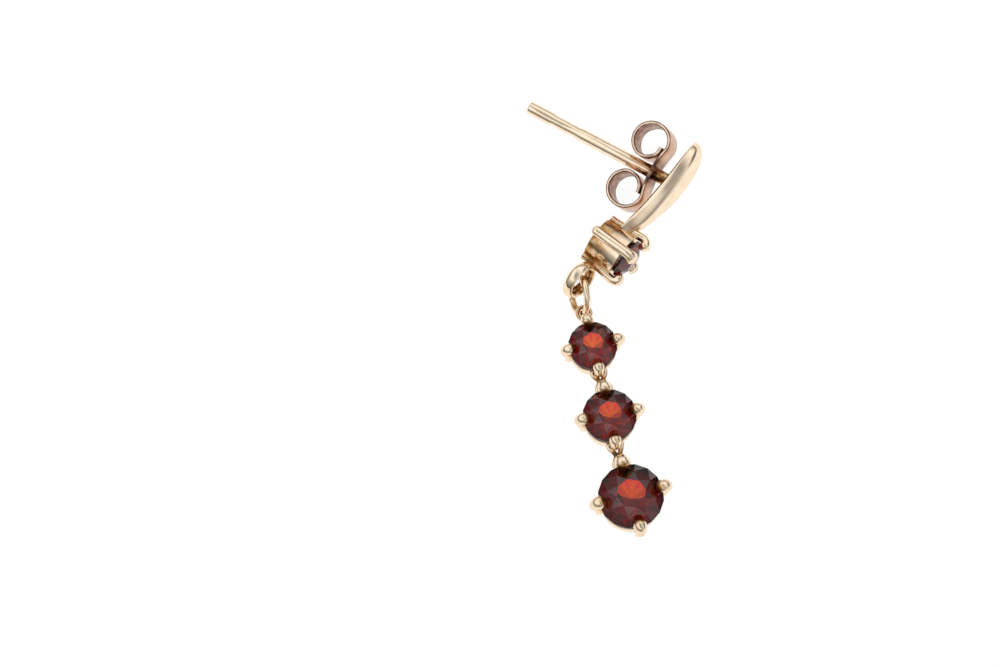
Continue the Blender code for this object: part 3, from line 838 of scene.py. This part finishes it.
make_setting(
    "top_claw_setting", top_at, TOP_STONE, TOP_CLAW_WIRE, TOP_CLAW_TIP,
    TOP_COLLAR_DIAMETER, TOP_COLLAR_HEIGHT, top_girdle, 5, top_tarnish, wide=TOP_CLAW_WIDE,
    long_foot=TOP_FOOT_REACH, lip=TOP_LIP,
)
brilliant("cut_top_stone", TOP_STONE, top_at, top_girdle, deep=TOP_STONE_CROWN_SHADE)

bar_length = BAR_BELOW_POST + BAR_ABOVE_POST
bar_middle = bar_length / 2 - BAR_BELOW_POST


def back_of_bar(x):
    """How far the bar's bowed back is from the plane of the post's root."""
    bend = ((x - bar_middle) / (bar_length / 2)) ** 2
    at_post = (bar_middle / (bar_length / 2)) ** 2
    return BAR_SAG * (bend - at_post)


def bar_section(share):
    """The bar's row at a share of its length, smooth between the rows given."""
    table = rows(BAR_COLUMNS, BAR_ROWS)
    for i in range(len(table) - 1):
        if share <= table[i + 1]["along"] or i == len(table) - 2:
            break
    one, two = table[i], table[i + 1]
    before, after = table[max(i - 1, 0)], table[min(i + 2, len(table) - 1)]
    t = (share - one["along"]) / (two["along"] - one["along"])
    made = {}
    for key in BAR_COLUMNS[1:]:
        span = two["along"] - one["along"]
        m1 = (two[key] - before[key]) / max(two["along"] - before["along"], 1e-6) * span
        m2 = (after[key] - one[key]) / max(after["along"] - one["along"], 1e-6) * span
        made[key] = (
            one[key] * (1 + 2 * t) * (1 - t) ** 2 + m1 * t * (1 - t) ** 2
            + two[key] * t * t * (3 - 2 * t) - m2 * t * t * (1 - t)
        )
    return made


def make_bar():
    bm = bmesh.new()
    sections = []
    for k in range(BAR_STEPS + 1):
        share = 1 - (1 - k / BAR_STEPS) ** BAR_STEP_GROWTH
        row = bar_section(share)
        x = share * bar_length - BAR_BELOW_POST
        half = row["width"] * BAR_WIDTH / 2
        thickness = row["thickness"] * BAR_THICKNESS
        wall = row["wall"] * thickness
        back = back_of_bar(x)
        soft = min(BAR_SOFT, half * 0.3)
        edge = []
        for j in range(BAR_SOFT_STEPS + 1):
            a = math.pi / 2 * j / BAR_SOFT_STEPS
            edge.append((back - soft + soft * math.cos(a), half - soft + soft * math.sin(a)))
        front = []
        for j in range(BAR_ARC_STEPS + 1):
            angle = math.pi * j / BAR_ARC_STEPS
            dome = wall + (thickness - wall) * math.sin(angle)
            front.append((back - dome, half * math.cos(angle)))
        outline = edge + front + [(y, -z) for y, z in reversed(edge)]
        sections.append([bm.verts.new((x, y, z)) for y, z in outline])
    skin(bm, sections)
    dent(bm, size=0.0012, depth=0.00001, seed=31)

    def tarnish_and_shade(co):
        near_setting = smooth_step(-0.0031, -0.0042, co.x)
        return 0.75 * near_setting * smooth_step(0.0000, -0.0005, co.y)

    add_piece("domed_bar", bm, stud_at, GOLD, "earring", tarnish_and_shade=tarnish_and_shade, node="stud")


def make_post():
    radius, notch, top = POST_DIAMETER / 2, NOTCH_DIAMETER / 2, POST_LENGTH
    notch_top = top - NOTCH_FROM_TIP
    notch_end = notch_top - NOTCH_LENGTH
    soft = POST_CHAMFER * 1.3
    outline = [(NEAR_AXIS, top)]
    for k in range(POST_TIP_STEPS + 1):
        a = math.pi / 2 * k / POST_TIP_STEPS
        outline.append((radius - soft + soft * math.sin(a), top - soft + soft * math.cos(a)))
    outline += [
        (radius, notch_top),
        (notch, notch_top - NOTCH_RAMP),
        (notch, notch_end + NOTCH_RAMP),
        (radius, notch_end),
    ]
    outline += [(radius, level) for level in (*POST_STAIN_LEVELS, 0.0, -POST_ROOT)]
    outline.append((NEAR_AXIS, -POST_ROOT))
    bm = bmesh.new()
    lathe(bm, outline, POST_SIDES, closed=False)

    def tarnish_and_shade(co):
        return 0.9 * smooth_step(0.0016, 0.0009, co.z)

    add_piece("straight_post", bm, post_at, GOLD, "earring", tarnish_and_shade=tarnish_and_shade)


make_bar()
make_post()


# Butterfly back
def clasp_line():
    """The strip's middle line from one roll over the bowed plate to the other."""
    roll = (CLASP_ROLL_DIAMETER - CLASP_STRIP) / 2
    aside = POST_DIAMETER / 2 + CLASP_GAP + CLASP_STRIP / 2 + roll
    half = []
    for i in range(PLATE_STEPS):
        share = i / PLATE_STEPS
        half.append((aside * share, CLASP_BOW * (1 - share * share)))
    for i in range(ROLL_STEPS + 1):
        turn = CLASP_TURN * i / ROLL_STEPS
        tuck = CLASP_TUCK * max(0.0, turn - ROLL_SETTLED) / (CLASP_TURN - ROLL_SETTLED)
        angle = math.radians(turn - 90.0)
        radius = roll - tuck
        half.append((aside + radius * math.cos(angle), roll + radius * math.sin(angle)))
    return [(-x, z) for x, z in reversed(half[1:])] + half


def clasp_section(t, inner, w):
    """The strip's section, with two more points on each rim for the painted dark lines near its
    corners.
    """
    section = []
    for out, across in rounded(((inner, w), (-t, w), (-t, -w), (inner, -w)), STRIP_SOFT, 3):
        on_rim = abs(abs(across) - w) < SAME
        if section and on_rim and abs(across - section[-1][1]) < SAME:
            before = section[-1][0]
            for share in (0.3, 0.7):
                section.append((before + (out - before) * share, across))
        section.append((out, across))
    return section


def make_clasp():
    line = clasp_line()
    t, w = CLASP_STRIP / 2, CLASP_WIDTH / 2
    inner = t - CLASP_THIN
    section = clasp_section(t, inner, w)
    bm = bmesh.new()
    stain_and_shade = bm.verts.layers.float.new("tarnish_and_shade")
    loops = []
    for i, (x, z) in enumerate(line):
        x0, z0 = line[max(i - 1, 0)]
        x1, z1 = line[min(i + 1, len(line) - 1)]
        along = Vector((x1 - x0, z1 - z0)).normalized()
        loop = []
        for out, across in section:
            vertex = bm.verts.new((x - along.y * out, across, z + along.x * out))
            # On the rims: dark near the corners and pale between, as painted reflection lines.
            if abs(across) > w - SAME:
                edge = min(inner - out, out + t)
                level = 0.04 + 0.9 * smooth_step(0.00007, 0.00004, edge)
            # The inner face: tarnish with painted shade inside the rolls.
            elif out > inner - SAME:
                level = 0.95
            elif out < -t + SAME:
                level = 0.25
            # The rounded corners: painted dark reflection lines.
            else:
                level = 1.0
            # Darker near the hole: painted shadow on the plate, with tarnish.
            vertex[stain_and_shade] = max(level, smooth_step(0.0014, 0.0005, math.hypot(x, z)))
            loop.append(vertex)
        loops.append(loop)
    skin(bm, loops)
    dent(bm, size=0.0006, depth=0.000012, seed=41)
    add_piece("butterfly_back", bm, clasp_at, ROSE, "clasp", node="butterfly_clasp")


make_clasp()

# Table, light and camera
bm = bmesh.new()
bmesh.ops.create_grid(bm, x_segments=8, y_segments=8, size=TABLE_SIZE)
mesh = bpy.data.meshes.new("table_top")
bm.to_mesh(mesh)
bm.free()
table_top = bpy.data.objects.new("table_top", mesh)
bpy.context.scene.collection.objects.link(table_top)
table_top.location = (0.0, 0.0, -TABLE_DROP)
material, n, _, shader = new_material("table_white")
shader.inputs["Base Color"].default_value = TABLE_GREY
shader.inputs["Roughness"].default_value = 0.9
shader.inputs["Specular IOR Level"].default_value = 0.1
shader.inputs["Emission Color"].default_value = WHITE
# A painted pool of light: the surface glows a little brighter under each drop, which shows through
# its stone.
spot = n.add("ShaderNodeTexCoord").outputs["Object"]
nearest = 1.0
for drop in drops:
    to_drop = n.add("ShaderNodeVectorMath", operation="DISTANCE")
    n.link(spot, to_drop.inputs[0])
    to_drop.inputs[1].default_value = drop["at"].translation
    nearest = n.math("MINIMUM", to_drop.outputs["Value"], nearest)
glow = n.span(nearest, GLOW_INNER, GLOW_OUTER, GLOW_AT_DROP, GLOW_ELSEWHERE)
n.link(glow, shader.inputs["Emission Strength"])
mesh.materials.append(material)

world = bpy.data.worlds.new("light_tent")
bpy.context.scene.world = world
world.use_nodes = True
n = Nodes(world.node_tree)
out = n.add("ShaderNodeOutputWorld")
sky = n.add("ShaderNodeBackground")
n.link(sky.outputs["Background"], out.inputs["Surface"])
way = n.add("ShaderNodeSeparateXYZ")
n.link(n.add("ShaderNodeTexCoord").outputs["Generated"], way.inputs["Vector"])
east, north, up = way.outputs
# A grey lane in the tent runs from the top to the near right. Its sides and horizon are dim.
lane = n.math("ADD", north, n.math("MULTIPLY", east, LANE_SLOPE))
panel = n.math("MULTIPLY", n.span(lane, 0.10, 0.75, 1.0, 0.0), n.span(lane, -0.60, -0.30, 0.0, 1.0))
panel = n.math("MULTIPLY", panel, n.span(east, -0.34, -0.22, 0.0, 1.0))
panel = n.math("MULTIPLY", panel, n.span(up, 0.95, 0.35, 0.66, 0.50))
panel = n.math("MULTIPLY", panel, n.span(up, 0.10, 0.35, 0.55, 1.0))
front = n.math("MULTIPLY", n.span(up, 0.78, 0.66, 0.0, 0.54), n.span(north, -0.15, -0.45, 0.0, 1.0))
front = n.math("MULTIPLY", front, n.span(east, 0.10, 0.50, 1.0, 0.0))
right = n.math("MULTIPLY", n.span(east, 0.55, 0.80, 0.0, 0.62), n.span(lane, 0.50, 0.80, 0.0, 1.0))
left = n.math("MULTIPLY", n.span(east, -0.55, -0.80, 0.0, 0.35), n.span(up, 0.70, 0.45, 0.0, 1.0))
shut = n.math("MAXIMUM", n.math("MAXIMUM", panel, front), n.math("MAXIMUM", right, left))
level = n.math("MULTIPLY", TENT_STRENGTH, n.math("SUBTRACT", 1.0, shut))
lit = n.math("MULTIPLY", n.span(east, 0.45, 0.70, 0.0, 1.0), n.span(lane, 0.35, 0.65, 1.0, 0.0))
dim = n.math("MAXIMUM", n.span(up, 0.05, 0.60, 0.14, 1.0), lit)
level = n.math("MULTIPLY", level, dim)
n.link(level, sky.inputs["Strength"])
sky.inputs["Color"].default_value = WHITE

AIM = Vector((-0.0070, -0.00054, 0.0))
DISTANCE = 0.280
ELEVATION = math.radians(74.5)
lens = bpy.data.cameras.new("camera")
lens.lens = 165.0
lens.sensor_width = 36.0
lens.clip_start = 0.01
lens.clip_end = 10.0
camera = bpy.data.objects.new("camera", lens)
bpy.context.scene.collection.objects.link(camera)
camera.location = AIM + DISTANCE * Vector((0.0, -math.cos(ELEVATION), math.sin(ELEVATION)))
camera.rotation_euler = (math.pi / 2 - ELEVATION, 0.0, 0.0)
bpy.context.scene.camera = camera
bpy.context.scene.view_settings.view_transform = "Standard"
